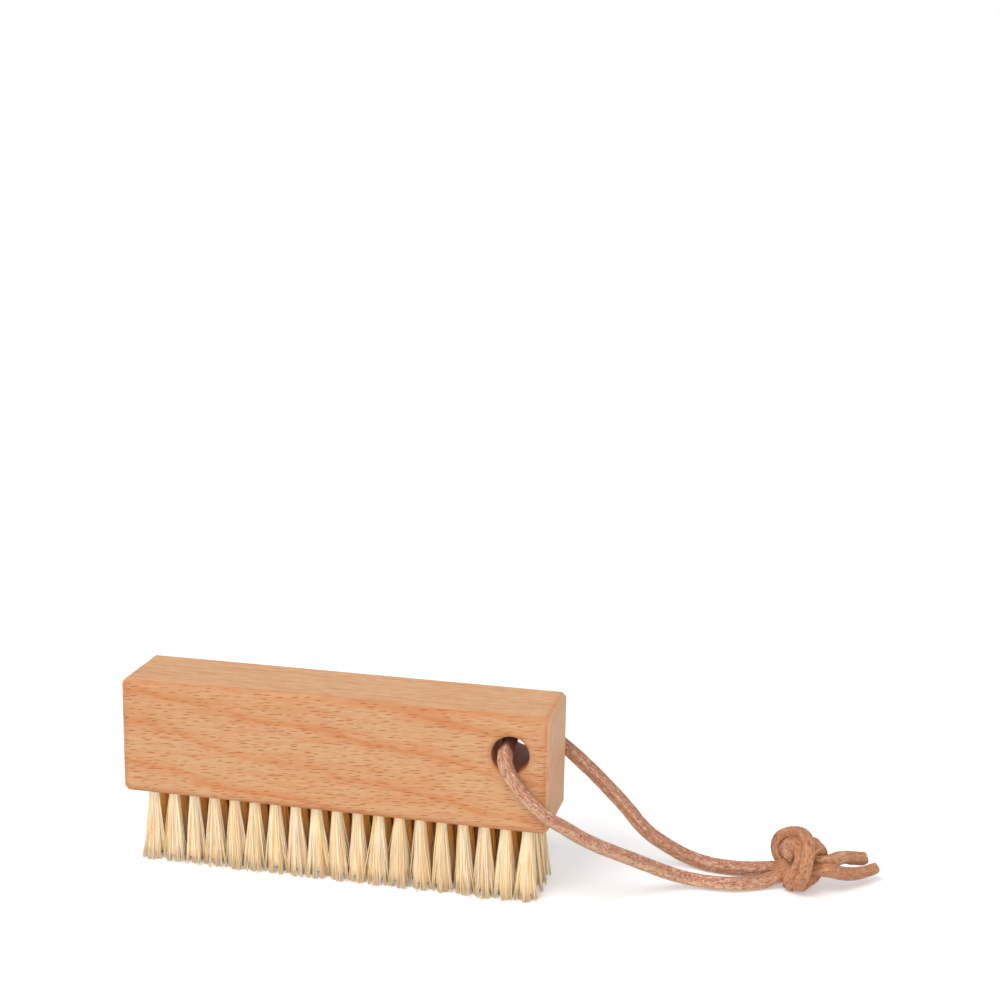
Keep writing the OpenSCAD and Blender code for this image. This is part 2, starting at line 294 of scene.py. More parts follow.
class Graph:
    """Adds nodes to a node tree and feeds their inputs with values or with other nodes' outputs"""

    def __init__(self, tree):
        self.tree = tree

    def feed(self, socket, value):
        if isinstance(value, bpy.types.NodeSocket):
            self.tree.links.new(value, socket)
        else:
            socket.default_value = value

    def add(self, kind, inputs=None, **settings):
        node = self.tree.nodes.new(kind)
        for name, value in settings.items():
            setattr(node, name, value)
        for name, value in (inputs or {}).items():
            self.feed(next(s for s in node.inputs if s.enabled and s.name == name), value)
        return node

    def first(self, kind, inputs=None, **settings):
        """The first output of a new node."""
        return next(s for s in self.add(kind, inputs, **settings).outputs if s.enabled)

    def math(self, operation, *values, kind="ShaderNodeMath"):
        node = self.add(kind, operation=operation)
        for socket, value in zip(node.inputs, values):
            self.feed(socket, value)
        return next(s for s in node.outputs if s.enabled)

    def vector(self, operation, *values):
        return self.math(operation, *values, kind="ShaderNodeVectorMath")

    def stretch(self, vector, factor):
        return self.first("ShaderNodeVectorMath", {"Vector": vector, "Scale": factor}, operation="SCALE")

    def minus(self, value, other):
        return self.math("SUBTRACT", value, other)

    def scaled(self, value, factor, start):
        """A value times a factor, on top of a start."""
        return self.math("MULTIPLY_ADD", value, factor, start)

    def product(self, value, *others):
        for other in others:
            value = self.math("MULTIPLY", value, other)
        return value

    def split(self, vector):
        return self.add("ShaderNodeSeparateXYZ", {"Vector": vector}).outputs

    def join(self, x=0.0, y=0.0, z=0.0):
        return self.first("ShaderNodeCombineXYZ", {"X": x, "Y": y, "Z": z})

    def noise(self, place, grain, detail=2.0, roughness=0.5):
        """Smooth noise from 0 to 1, with as many features to each unit of its place as its grain says."""
        stretched = self.vector("MULTIPLY", place, grain)
        return self.first(
            "ShaderNodeTexNoise", {"Vector": stretched, "Scale": 1.0, "Detail": detail, "Roughness": roughness}
        )

    def ease(self, value, low, high, start=0.0, end=1.0):
        """The start below low, the end above high, and a smooth change between them."""
        return self.first(
            "ShaderNodeMapRange",
            {"Value": value, "From Min": low, "From Max": high, "To Min": start, "To Max": end},
            interpolation_type="SMOOTHSTEP",
        )

    def fade(self, value, low, high):
        return self.ease(value, low, high, 1.0, 0.0)

    def blend(self, share, below, above):
        """A colour between two, by a share from 0 to 1."""
        return self.first("ShaderNodeMix", {"Factor": share, "A": below, "B": above}, data_type="RGBA")

    def layers(self, colour, *layers):
        """A colour with others laid over it in turn, each with its share from 0 to 1."""
        for share, above in layers:
            colour = self.blend(share, colour, above)
        return colour

    def ramp(self, value, stops):
        """A value that follows (place, value) stops."""
        node = self.add("ShaderNodeValToRGB", {"Fac": value})
        elements = node.color_ramp.elements
        while len(elements) < len(stops):
            elements.new(1.0)
        for element, (place, level) in zip(elements, stops):
            element.position = place
            element.color = (level, level, level, 1.0)
        return node.outputs[0]


def new_material(name):
    """A material with only its output node, and the graph that fills it."""
    material = bpy.data.materials.new(name)
    material.use_nodes = True
    material.node_tree.nodes.clear()
    return material, Graph(material.node_tree)


def finish_material(graph, base, roughness, height, bump, constant, value):
    """The surface itself, with its colour, roughness, relief and one more quality that is the same all over."""
    shader = graph.add("ShaderNodeBsdfPrincipled", {"Base Color": base, "Roughness": roughness})
    shader.inputs[constant].default_value = value
    relief = graph.first("ShaderNodeBump", {"Strength": 1.0, "Distance": bump, "Height": height})
    graph.feed(shader.inputs["Normal"], relief)
    graph.add("ShaderNodeOutputMaterial", {"Surface": shader.outputs[0]})


def millimetre_place(graph):
    """The place on the object in millimetres."""
    return graph.stretch(graph.add("ShaderNodeTexCoord").outputs["Object"], 1 / MM)


def fleck_cells(graph, along, across, settings, stretch):
    """Short dashes along one direction, one in each cell of a loose pattern, as a share from 0 to 1."""
    length = settings.fleck_length / MM * stretch
    width = settings.fleck_width / MM
    cell_length = 1.3 * length
    cell_width = 3.5 * width
    place = graph.join(graph.math("DIVIDE", along, cell_length), graph.math("DIVIDE", across, cell_width))
    cells = graph.add("ShaderNodeTexVoronoi", {"Vector": place, "Scale": 1.0}, voronoi_dimensions="2D")
    away = graph.split(graph.vector("SUBTRACT", place, cells.outputs["Position"]))
    chance = graph.split(cells.outputs["Color"])
    half = graph.scaled(chance[0], 0.35 * length, 0.25 * length)
    far_along = graph.math("DIVIDE", graph.product(away[0], cell_length), half)
    far_across = graph.product(away[1], cell_width / (0.5 * width))
    dash = graph.fade(graph.vector("LENGTH", graph.join(far_along, far_across)), 0.45, 1.2)
    return graph.product(dash, graph.math("POWER", chance[1], 0.6))


def from_block_edge(graph, place):
    """How far a place is from the block's nearest edge: the second smallest distance to a face."""
    middle = (BLOCK_LOW + BLOCK_HIGH) / 2 / MM
    half = (BLOCK_HIGH - BLOCK_LOW) / 2 / MM
    from_middle = graph.vector("ABSOLUTE", graph.vector("SUBTRACT", place, middle))
    in_x, in_y, in_z = graph.split(graph.vector("SUBTRACT", half, from_middle))
    smallest = graph.math("MINIMUM", graph.math("MINIMUM", in_x, in_y), in_z)
    largest = graph.math("MAXIMUM", graph.math("MAXIMUM", in_x, in_y), in_z)
    total = graph.math("ADD", graph.math("ADD", in_x, in_y), in_z)
    return graph.minus(graph.minus(total, smallest), largest)


def beech_material(settings):
    """Beech with slanting growth rings, short rays on every long face, fine end grain, darker edges that are
    partly painted shade, and painted shade inside the lace hole.
    """
    material, graph = new_material("beech")
    place = millimetre_place(graph)
    x, y, z = graph.split(place)
    normal = graph.add("ShaderNodeTexCoord").outputs["Normal"]
    facing = graph.split(graph.vector("ABSOLUTE", normal))
    on_end = graph.ease(facing[0], 0.45, 0.8)
    off_end = graph.minus(1.0, on_end)
    on_front = graph.ease(facing[1], 0.35, 0.8)

    # The rings are one field through the whole block, so they meet at its edges
    ring_height = settings.ring_height / MM
    ring_depth = settings.ring_depth / MM
    steepness = (-settings.ring_fall / ring_height, 1 / ring_depth, -1 / ring_height)
    warp = graph.noise(place, (0.035, 0.12, 0.1), 3.0)
    fine_warp = graph.noise(place, (0.16, 0.5, 0.6), 2.0)
    start = (BLOCK_HIGH.z / MM - RING_DROP) / ring_height - BLOCK_LOW.y / MM / ring_depth - RING_SHIFT
    ring = graph.math("ADD", graph.vector("DOT_PRODUCT", place, steepness), start)
    ring = graph.scaled(warp, RING_WARP, ring)
    ring = graph.scaled(fine_warp, RING_FINE_WARP, ring)
    patches = graph.noise(place, (0.03, 0.1, 0.09), 2.0)
    band = graph.product(
        graph.ramp(graph.math("FRACT", ring), RING_STOPS), graph.ease(patches, 0.25, 0.75, 0.45, 1.0),
        graph.scaled(on_front, 0.8, 0.25)
    )

    fibre_streaks = graph.noise(place, (0.28, 2.8, 2.8), 4.0, 0.7)
    wide_streaks = graph.noise(place, (0.05, 0.7, 0.7), 3.0, 0.6)
    end_lines = graph.noise(place, (1.0, 4.5, 0.2), 3.0, 0.65)
    front_flecks = fleck_cells(graph, x, graph.scaled(x, -RAY_FALL, z), settings, stretch=1.1)
    top_flecks = graph.product(fleck_cells(graph, x, y, settings, stretch=1.9), 0.45)
    flecks = graph.first("ShaderNodeMix", {"Factor": on_front, "A": top_flecks, "B": front_flecks})
    flecks = graph.product(flecks, off_end)
    # Darker along the edges: partly the wood's own, partly painted shade that tones down the light the rounded
    # edges catch
    edge_width = settings.edge_width / MM
    edge = graph.fade(from_block_edge(graph, place), 0.2 * edge_width, edge_width)
    edge = graph.product(edge, graph.ease(warp, 0.3, 0.7, 0.25, 0.7), off_end)
    # Painted shade inside the lace hole, laid on its walls by their distance from the hole's axis
    from_axis = graph.join(graph.minus(x, HOLE_X / MM), 0.0, graph.minus(z, HOLE_Z / MM))
    bore_shade_mask = graph.fade(graph.vector("LENGTH", from_axis), HOLE_RADIUS / MM, HOLE_RADIUS / MM + 0.35)

    end = graph.layers(
        settings.end, (graph.ease(end_lines, 0.38, 0.68, end=0.6), settings.ring),
        (graph.product(band, 0.5), settings.ring)
    )
    wood = graph.layers(
        settings.top, (on_front, settings.base), (band, settings.ring),
        (graph.ease(fibre_streaks, 0.4, 0.64, end=0.45), settings.ring),
        (graph.ease(wide_streaks, 0.45, 0.65, end=0.4), settings.ring),
        (edge, settings.edge), (on_end, end), (graph.product(flecks, 0.95), settings.fleck),
        (bore_shade_mask, settings.painted_bore_shade)
    )

    roughness = graph.ease(fibre_streaks, 0.2, 0.8, 0.5, 0.62)
    height = graph.minus(graph.product(fibre_streaks, 0.5), flecks)
    finish_material(graph, wood, roughness, height, 0.05 * MM, "Specular IOR Level", 0.3)
    return material


def bristle_material(settings):
    """Plant fibre, from ivory to yellow, a shade of its own for each fibre, with painted shade and bounce light
    in orange deep between the tufts.
    """
    material, graph = new_material("bristle")
    shade = graph.add("ShaderNodeAttribute", attribute_name="fibre_shade").outputs["Fac"]
    along = graph.add("ShaderNodeAttribute", attribute_name="fibre_along").outputs["Fac"]
    place = millimetre_place(graph)
    x, y, z = graph.split(place)
    mottle = graph.noise(place, (3.5, 3.5, 0.2), 3.0)
    yellowness = graph.scaled(mottle, 0.5, graph.scaled(shade, 0.75, -0.25))
    # Painted shade and bounce light deep between the tufts, strongest near the roots and fading at the block's
    # ends
    deep = graph.product(
        graph.fade(graph.math("ABSOLUTE", y), *GAP_SHADE_Y), graph.fade(graph.math("ABSOLUTE", x), *GAP_SHADE_X),
        graph.ease(along, 0.2, 1.0, 1.0, 0.1)
    )
    base = graph.layers(
        settings.pale, (graph.ease(yellowness, 0.0, 0.9), settings.yellow),
        (graph.ease(along, 0.55, 1.0, end=0.15), settings.yellow), (deep, settings.inner)
    )
    roughness = graph.ease(along, 0.0, 1.0, 0.42, 0.6)
    finish_material(graph, base, roughness, mottle, 0.01 * MM, "Specular IOR Level", 0.35)
    return material


def leather_material(settings):
    """Vegetable-tanned leather: a smoother skin side, redder speckled cut sides, pale edges from wear that are
    partly a painted highlight, and painted shade inside the hole.
    """
    material, graph = new_material("lace_leather")
    # Where a place is on the lace, as if it lay straight: along, then from the middle across and outwards
    straight = graph.add("ShaderNodeAttribute", attribute_name="lace_place").outputs["Vector"]
    strain = graph.add("ShaderNodeAttribute", attribute_name="lace_strain").outputs["Fac"]
    along, across, outwards = graph.split(straight)
    half = settings.width / MM / 2
    mottle = graph.noise(straight, (0.35, 0.9, 0.9), 4.0, 0.6)
    grain = graph.noise(straight, (1.3, 2.6, 2.6), 4.0, 0.75)
    hairs = graph.noise(straight, (0.7, 2.2, 2.2), 4.0, 0.75)
    loose = graph.scaled(strain, -0.6, 1.0)
    # Pale corners: partly wear, partly a painted highlight where the corners catch the light
    corner = graph.product(graph.math("ABSOLUTE", across), graph.math("ABSOLUTE", outwards))
    wear_and_highlight = graph.ease(graph.math("DIVIDE", corner, half * half), 0.42, 0.72)
    wear_and_highlight = graph.product(wear_and_highlight, graph.ease(hairs, 0.4, 0.65, end=0.7), loose)
    pale_hairs = graph.product(graph.ease(hairs, 0.48, 0.62, end=0.7), loose)
    skin_side = graph.scaled(graph.minus(mottle, 0.5), 1.6, outwards)
    # Painted shade on the lace inside the hole, by how deep in the block it runs
    x, y, z = graph.split(millimetre_place(graph))
    hole_end = BLOCK_HIGH.y / MM
    hole_shade_mask = graph.ease(graph.math("ABSOLUTE", y), hole_end - 1.4, hole_end + 0.4, 0.9, 0.0)
    hole_shade_mask = graph.product(hole_shade_mask, graph.math("LESS_THAN", x, BLOCK_HIGH.x / MM))

    leather = graph.layers(
        settings.red, (graph.ease(skin_side, -0.2, 1.3), settings.skin),
        (graph.product(strain, 0.8), settings.knot), (pale_hairs, settings.wear_and_highlight),
        (graph.ease(grain, 0.5, 0.64, end=0.75), settings.dark), (wear_and_highlight, settings.wear_and_highlight),
        (hole_shade_mask, settings.painted_hole_shade)
    )
    roughness = graph.ease(grain, 0.3, 0.7, 0.5, 0.72)
    height = graph.minus(hairs, graph.ease(grain, 0.5, 0.7))
    finish_material(graph, leather, roughness, height, 0.12 * MM, "Specular IOR Level", 0.35)
    return material


def anchor_material():
    """Flat tinned wire with fine lines along it."""
    material, graph = new_material("anchor_wire")
    lines = graph.noise(millimetre_place(graph), (0.6, 14.0, 14.0), 3.0)
    base = graph.blend(graph.ease(lines, 0.3, 0.7), colour(176, 178, 180), colour(202, 203, 204))
    roughness = graph.ease(lines, 0.3, 0.7, 0.28, 0.42)
    finish_material(graph, base, roughness, lines, 0.01 * MM, "Metallic", 1.0)
    return material


def add_piece(name, mesh, material=None):
    """A new object in the scene, with its mesh, light or camera."""
    piece = bpy.data.objects.new(name, mesh)
    bpy.context.scene.collection.objects.link(piece)
    if material:
        mesh.materials.append(material)
    return piece


@dataclass
class LaceRing:
    """One cross-section of the lace"""

    middle: Vector
    along: Vector
    across: Vector
    outwards: Vector
    run: float
    width: float
    thickness: float
    strain: float


def lace_path(step):
    """Points close together on a smooth line through the route, and which of them each route point is."""
    route = [in_metres(point) for stretch in STRETCHES for point in stretch]
    gaps = [(b - a).length for a, b in zip(route, route[1:])]
    slopes = [(route[1] - route[0]).normalized()]
    for i in range(1, len(route) - 1):
        before = (route[i] - route[i - 1]) / gaps[i - 1]
        after = (route[i + 1] - route[i]) / gaps[i]
        slopes.append((before * gaps[i] + after * gaps[i - 1]) / (gaps[i - 1] + gaps[i]))
    slopes.append((route[-1] - route[-2]).normalized())
    path, marks = [], []
    for i, gap in enumerate(gaps):
        marks.append(len(path))
        steps = max(2, round(gap / step))
        for k in range(steps):
            t = k / steps
            path.append(
                route[i] * (2 * t**3 - 3 * t**2 + 1) + route[i + 1] * (3 * t**2 - 2 * t**3)
                + slopes[i] * (gap * (t**3 - 2 * t**2 + t)) + slopes[i + 1] * (gap * (t**3 - t**2))
            )
    marks.append(len(path))
    path.append(route[-1])
    return path, marks


def in_metres(point):
    return Vector([part * MM for part in point])


def square_to(vector, along):
    """The part of a vector that is square to a direction."""
    return vector - vector.dot(along) * along


def soft_share(value, low, high):
    share = min(max((value - low) / (high - low), 0.0), 1.0)
    return share * share * (3 - 2 * share)


def lace_turns(path, alongs, sides, roll):
    """How far each ring turns from its carried side, so that its flat side faces out of the knot or up."""
    wishes, weights = [], []
    last = 0.0
    for middle, along, side in zip(path, alongs, sides):
        from_knot = middle - KNOT_MIDDLE
        if from_knot.length < KNOT_SIDE:
            wish = square_to(from_knot, along)
            weight = soft_share(wish.length, *KNOT_HOLD)
            extra = 0.0
        else:
            wish = square_to(Vector((0, 0, 1)), along)
            weight = LEVEL_HOLD * wish.length
            extra = roll
        angle = math.atan2(wish.dot(along.cross(side)), wish.dot(side)) + extra
        angle += math.pi * round((last - angle) / math.pi)
        if weight > LEAST_HOLD:
            last = angle
        wishes.append(angle)
        weights.append(weight)
    turns = list(wishes)
    for _ in range(TWIST_PASSES):
        for i, (wish, weight) in enumerate(zip(wishes, weights)):
            near = [turns[k] for k in (i - 1, i + 1) if 0 <= k < len(turns)]
            turns[i] = (weight * wish + TWIST_STIFFNESS * sum(near)) / (weight + TWIST_STIFFNESS * len(near))
    return turns


def lace_rings(settings):
    """Every cross-section of the lace from end to end, and which of them each route point is."""
    path, marks = lace_path(settings.step)
    last = len(path) - 1
    alongs = [(path[min(i + 1, last)] - path[max(i - 1, 0)]).normalized() for i in range(last + 1)]
    sides, side = [], Vector((0, 0, 1))
    for along in alongs:
        side = square_to(side, along).normalized()
        sides.append(side)
    turns = lace_turns(path, alongs, sides, settings.roll)
    rings, run = [], 0.0
    for i, (middle, along, side, turn) in enumerate(zip(path, alongs, sides, turns)):
        run += (middle - path[max(i - 1, 0)]).length
        outwards = Matrix.Rotation(turn, 3, along) @ side
        front_tail = soft_share(marks[FRONT_TAIL_END] - i, *FRONT_TAIL_EASE)
        tail = max(front_tail, soft_share(i - marks[BACK_TAIL_START], *BACK_TAIL_EASE))
        near_knot = 1 - soft_share((middle - KNOT_MIDDLE).length, *KNOT_PRESS)
        near_knot *= 1 - tail
        width = settings.width + near_knot * (settings.knot_width - settings.width)
        thickness = settings.width + near_knot * (settings.knot_thickness - settings.width)
        thickness += tail * (settings.tail_thickness - settings.width)
        strain = max(near_knot, tail)
        rings.append(LaceRing(middle, along, along.cross(outwards), outwards, run, width, thickness, strain))
    return rings, marks


def ring_outline(ring, points=24, squareness=3.6):
    """Points round one cross-section, (across, outwards), with slightly uneven cut sides."""
    outline = []
    for k in range(points):
        angle = 2 * math.pi * (k + 0.5) / points
        parts = (math.cos(angle), math.sin(angle))
        x, y = (math.copysign(abs(part) ** (2 / squareness), part) for part in parts)
        place = Vector((ring.run / MM * UNEVEN_ALONG, UNEVEN_ROUND * x, UNEVEN_ROUND * y))
        uneven = 1 + UNEVEN * noise.noise(place)
        outline.append((x * uneven * ring.width / 2, y * uneven * ring.thickness / 2))
    return outline


def finish_lace_mesh(mesh, places, strains):
    """Keeps each point's place on the straight lace, in millimetres, and how strained the leather is there."""
    places = [part for place in places for part in place]
    mesh.attributes.new("lace_place", "FLOAT_VECTOR", "POINT").data.foreach_set("vector", places)
    mesh.attributes.new("lace_strain", "FLOAT", "POINT").data.foreach_set("value", strains)
    mesh.shade_smooth()


def lace_mesh(name, *stretches):
    """One mesh of closed tubes, each through its own stretch of rings."""
    points, faces, places, strains, rims = [], [], [], [], set()
    for rings in stretches:
        start = len(points)
        for ring in rings:
            outline = ring_outline(ring)
            points += [ring.middle + a * ring.across + b * ring.outwards for a, b in outline]
            places += [Vector((ring.run, a, b)) / MM for a, b in outline]
            strains += [ring.strain] * len(outline)
        sides = len(outline)
        for r in range(len(rings) - 1):
            low = start + r * sides
            for k in range(sides):
                right = (k + 1) % sides
                faces.append((low + k, low + right, low + sides + right, low + sides + k))
        faces.append([start + k for k in reversed(range(sides))])
        faces.append([len(points) - sides + k for k in range(sides)])
        rims.update(faces[-2] + faces[-1])
    mesh = bpy.data.meshes.new(name)
    mesh.from_pydata(points, [], faces)
    finish_lace_mesh(mesh, places, strains)
    for edge in mesh.edges:
        edge.use_edge_sharp = all(vertex in rims for vertex in edge.vertices)
    return mesh


def folds_mesh(name):
    """The leather pressed into slanting folds inside the knot's loop, as one closed shape."""
    shape = bmesh.new()
    bmesh.ops.create_icosphere(shape, subdivisions=5, radius=1.0)
    places = []
    for vertex in shape.verts:
        from_middle = vertex.co * FOLDS_REACH
        along = from_middle.dot(FOLDS_FALL) / MM
        across = from_middle.dot(FOLDS_FALL.cross(Vector((0, 1, 0)))) / MM
        deep = from_middle.y / MM
        ridge = 1 - 2 * abs(noise.noise(Vector((0.2 * along, 0.75 * across, 0.5 * deep + 3))))
        fine = noise.noise(Vector((0.6 * along, 2.1 * across, 1.5 * deep)))
        vertex.co = FOLDS_MIDDLE + from_middle * (0.78 + 0.2 * ridge + 0.07 * fine)
        places.append((along, across, deep))
    mesh = bpy.data.meshes.new(name)
    shape.to_mesh(mesh)
    shape.free()
    finish_lace_mesh(mesh, places, [FOLDS_STRAIN] * len(places))
    return mesh


def add_lace_piece(mesh, *nodes):
    """A piece of the lace that stands for its CAD nodes and swings with them."""
    material = bpy.data.materials.get("lace_leather") or leather_material(bpy.context.scene.nail_brush_lace)
    piece = add_piece(mesh.name, mesh, material)
    if nodes:
        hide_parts(*nodes)
    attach(piece, "strap")
    return piece


def tuft_roots(column):
    """Middles of one column's tuft holes at the block's underside, from its anchors in the frame."""
    name = f"tuft_anchors_{column}"
    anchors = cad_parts[name]
    low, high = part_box(name)
    faces = sorted({round((anchors.matrix_world @ vertex.co).y, 6) for vertex in anchors.data.vertices})
    return [
        Vector(((low.x + high.x) / 2, (front + back) / 2, BLOCK_LOW.z))
        for front, back in zip(faces[::2], faces[1::2])
    ]


def bristle_inputs(tree, settings):
    values = {
        "Fibres": settings.fibres,
        "Length": BLOCK_LOW.z,
        "Depth in the hole": settings.sink,
        "Root radius": settings.root_radius,
        "Tip radius": settings.tip_radius,
        "Lean": settings.lean,
        "Fibre width": settings.width,
        "Ragged tips": settings.ragged,
        "Clumping": settings.clump,
        "Stray": settings.stray,
        "Seed": 1,
    }
    tree.interface.new_socket("Tufts", in_out="INPUT", socket_type="NodeSocketGeometry")
    for name, value in values.items():
        kind = "NodeSocketInt" if isinstance(value, int) else "NodeSocketFloat"
        tree.interface.new_socket(name, in_out="INPUT", socket_type=kind).default_value = value
    tree.interface.new_socket("Bristles", in_out="OUTPUT", socket_type="NodeSocketGeometry")


class BristleGraph(Graph):
    """Adds the bristle tree's nodes, and keeps values for each fibre under its own names"""

    def __init__(self, tree):
        super().__init__(tree)
        self.entry = self.add("NodeGroupInput").outputs

    def chance(self, seed, low=0.0, high=1.0):
        """A value by chance for each fibre."""
        inputs = {"Min": low, "Max": high, "Seed": self.math("ADD", self.entry["Seed"], 100.0 * seed)}
        return self.first("FunctionNodeRandomValue", inputs, data_type="FLOAT")

    def jitter(self, seed, reach):
        """A small step sideways by chance."""
        return self.join(self.chance(seed, -reach, reach), self.chance(seed + 1, -reach, reach))

    def keep(self, geometry, **values):
        for name, value in values.items():
            inputs = {"Geometry": geometry, "Name": f"fibre_{name}", "Value": value}
            kind = FIBRE_VALUES[name]
            geometry = self.first("GeometryNodeStoreNamedAttribute", inputs, data_type=kind, domain="POINT")
        return geometry

    def kept(self, name):
        inputs = {"Name": f"fibre_{name}"}
        return self.first("GeometryNodeInputNamedAttribute", inputs, data_type=FIBRE_VALUES[name])

    def plant(self, points, corners, segments):
        """One straight fibre of unit length at each point, which is bent to its own shape later."""
        sizes = {"Vertices": corners, "Side Segments": segments, "Radius": 1.0, "Depth": 1.0}
        straight = self.first("GeometryNodeMeshCylinder", sizes, fill_type="NGON")
        straight = self.keep(straight, unit=self.first("GeometryNodeInputPosition"))
        return self.first("GeometryNodeInstanceOnPoints", {"Points": points, "Instance": straight})


def tuft_lean(graph, middle):
    """The step that a tuft's tips lean towards the lace hole, more for some tufts than for others."""
    from_middle = graph.math("ABSOLUTE", graph.split(middle)[0])
    chance = graph.first("ShaderNodeTexWhiteNoise", {"Vector": middle})
    share = graph.scaled(chance, 1.4, 0.3)
    return graph.join(graph.product(graph.fade(from_middle, *LEAN_END), share, graph.entry["Lean"]))


def loose_fibres(graph, middle, lean):
    """Each tuft's fibres, gathered in locks and clumps, with ragged tips and a few strays."""
    entry = graph.entry
    points = graph.first(
        "GeometryNodeDuplicateElements", {"Geometry": entry["Tufts"], "Amount": entry["Fibres"]}, domain="POINT"
    )
    turn = graph.chance(1, 0.0, 2 * math.pi)
    way = graph.join(graph.math("COSINE", turn), graph.math("SINE", turn))
    outness = graph.math("SQRT", graph.chance(2, 0.25, 1.0))
    root = graph.stretch(way, graph.product(outness, entry["Root radius"]))
    spread = graph.stretch(way, graph.product(outness, entry["Tip radius"]))
    place = graph.vector("ADD", middle, root)

    lock_place = graph.stretch(place, 1 / LOCK_SIZE)
    lock = graph.add("ShaderNodeTexVoronoi", {"Vector": lock_place, "Scale": 1.0}).outputs["Position"]
    lock_root = graph.vector("SUBTRACT", graph.stretch(lock, LOCK_SIZE), middle)
    widening = graph.math("DIVIDE", entry["Tip radius"], entry["Root radius"])
    lock_spread = graph.vector("MULTIPLY", graph.stretch(lock_root, widening), (1.0, 1.0, 0.0))
    to_lock = graph.stretch(graph.vector("SUBTRACT", lock_spread, spread), entry["Clumping"])
    clump_place = graph.stretch(place, 1 / CLUMP_SIZE)
    clumps = graph.add("ShaderNodeTexNoise", {"Vector": clump_place, "Scale": 1.0, "Detail": 1.0})
    clump = clumps.outputs["Color"]
    clump_way = graph.vector("SUBTRACT", clump, (0.5, 0.5, 0.5))
    to_clump = graph.stretch(clump_way, graph.product(entry["Tip radius"], CLUMP_LEAN))

    is_stray = graph.math("GREATER_THAN", graph.chance(5), 1 - STRAY_SHARE)
    may_stray = graph.math("GREATER_THAN", graph.split(middle)[0], STRAY_START)
    stray = graph.stretch(way, graph.product(is_stray, may_stray, entry["Stray"]))
    tip = graph.vector("ADD", graph.vector("ADD", spread, to_lock), lean)
    tip = graph.vector("ADD", tip, graph.vector("ADD", graph.jitter(3, TIP_JITTER), stray))
    tip_x, tip_y, tip_z = graph.split(graph.vector("ADD", tip, to_clump))
    clump_short = graph.ease(graph.split(clump)[2], 0.5, 0.75, end=0.4)
    short = graph.scaled(graph.math("POWER", graph.chance(6), 2.5), 0.6, clump_short)
    tip = graph.join(tip_x, tip_y, graph.product(short, entry["Ragged tips"]))
    width = graph.product(graph.chance(9, 0.45, 1.0), entry["Fibre width"])
    points = graph.keep(
        points, middle=middle, root=root, tip=tip, bow=graph.jitter(7, BOW_JITTER),
        half=graph.product(width, 0.5), tip_half=graph.product(width, 0.3), shade=graph.chance(10)
    )
    return graph.plant(points, corners=4, segments=5)


def packed_cores(graph, middle, lean):
    """The packed middle of each tuft as one thick round fibre, which the others hide."""
    entry = graph.entry
    short = graph.product(entry["Ragged tips"], CORE_SHORT)
    points = graph.keep(
        entry["Tufts"], middle=middle, root=(0, 0, 0), tip=graph.vector("ADD", lean, graph.join(z=short)),
        bow=(0, 0, 0), half=graph.product(entry["Root radius"], CORE_ROOT),
        tip_half=graph.product(entry["Tip radius"], CORE_TIP), shade=0.5
    )
    return graph.plant(points, corners=14, segments=8)


def bent_fibres(graph, straight):
    """Each fibre in its own shape, with its first part in its hole and the rest down to its tip."""
    entry = graph.entry
    unit, root, tip, bow = (graph.split(graph.kept(name)) for name in ("unit", "root", "tip", "bow"))
    along = graph.math("ADD", unit[2], 0.5)
    free_share = 1 - SUNK_SHARE
    free = graph.scaled(along, 1 / free_share, -SUNK_SHARE / free_share)
    free = graph.math("MAXIMUM", free, 0.0)
    sunk = graph.math("MAXIMUM", graph.scaled(along, -1 / SUNK_SHARE, 1.0), 0.0)
    flare = graph.math("POWER", free, FLARE)
    arc = graph.math("SINE", graph.product(free, math.pi))
    root_half = graph.kept("half")
    widening = graph.minus(graph.kept("tip_half"), root_half)
    half = graph.scaled(widening, flare, root_half)
    sideways = []
    for axis in (0, 1):
        reach = graph.minus(tip[axis], root[axis])
        leaning = graph.scaled(reach, flare, root[axis])
        bent = graph.scaled(bow[axis], arc, leaning)
        sideways.append(graph.scaled(unit[axis], half, bent))
    fall = graph.product(free, graph.minus(tip[2], entry["Length"]))
    rise = graph.product(sunk, entry["Depth in the hole"])
    shape = graph.join(*sideways, graph.math("ADD", fall, rise))
    place = graph.vector("ADD", graph.kept("middle"), shape)
    bent = graph.first("GeometryNodeSetPosition", {"Geometry": straight, "Position": place})
    return graph.keep(bent, along=free)


def bristle_tree(settings, material):
    """A tree that plants a tuft of fibres at each point, from its hole to its loose tips."""
    tree = bpy.data.node_groups.new("bristles", "GeometryNodeTree")
    bristle_inputs(tree, settings)
    graph = BristleGraph(tree)
    middle = graph.first("GeometryNodeInputPosition")
    lean = tuft_lean(graph, middle)
    both = graph.add("GeometryNodeJoinGeometry")
    for planted in (loose_fibres(graph, middle, lean), packed_cores(graph, middle, lean)):
        graph.feed(both.inputs[0], planted)
    bristles = graph.first("GeometryNodeRealizeInstances", {"Geometry": both.outputs[0]})
    bristles = bent_fibres(graph, bristles)
    for name in FIBRE_VALUES:
        if name not in SHADING_VALUES:
            inputs = {"Geometry": bristles, "Name": f"fibre_{name}"}
            bristles = graph.first("GeometryNodeRemoveAttribute", inputs)
    bristles = graph.first("GeometryNodeSetShadeSmooth", {"Geometry": bristles})
    bristles = graph.first("GeometryNodeSetMaterial", {"Geometry": bristles, "Material": material})
    graph.add("NodeGroupOutput", {"Bristles": bristles})
    return tree


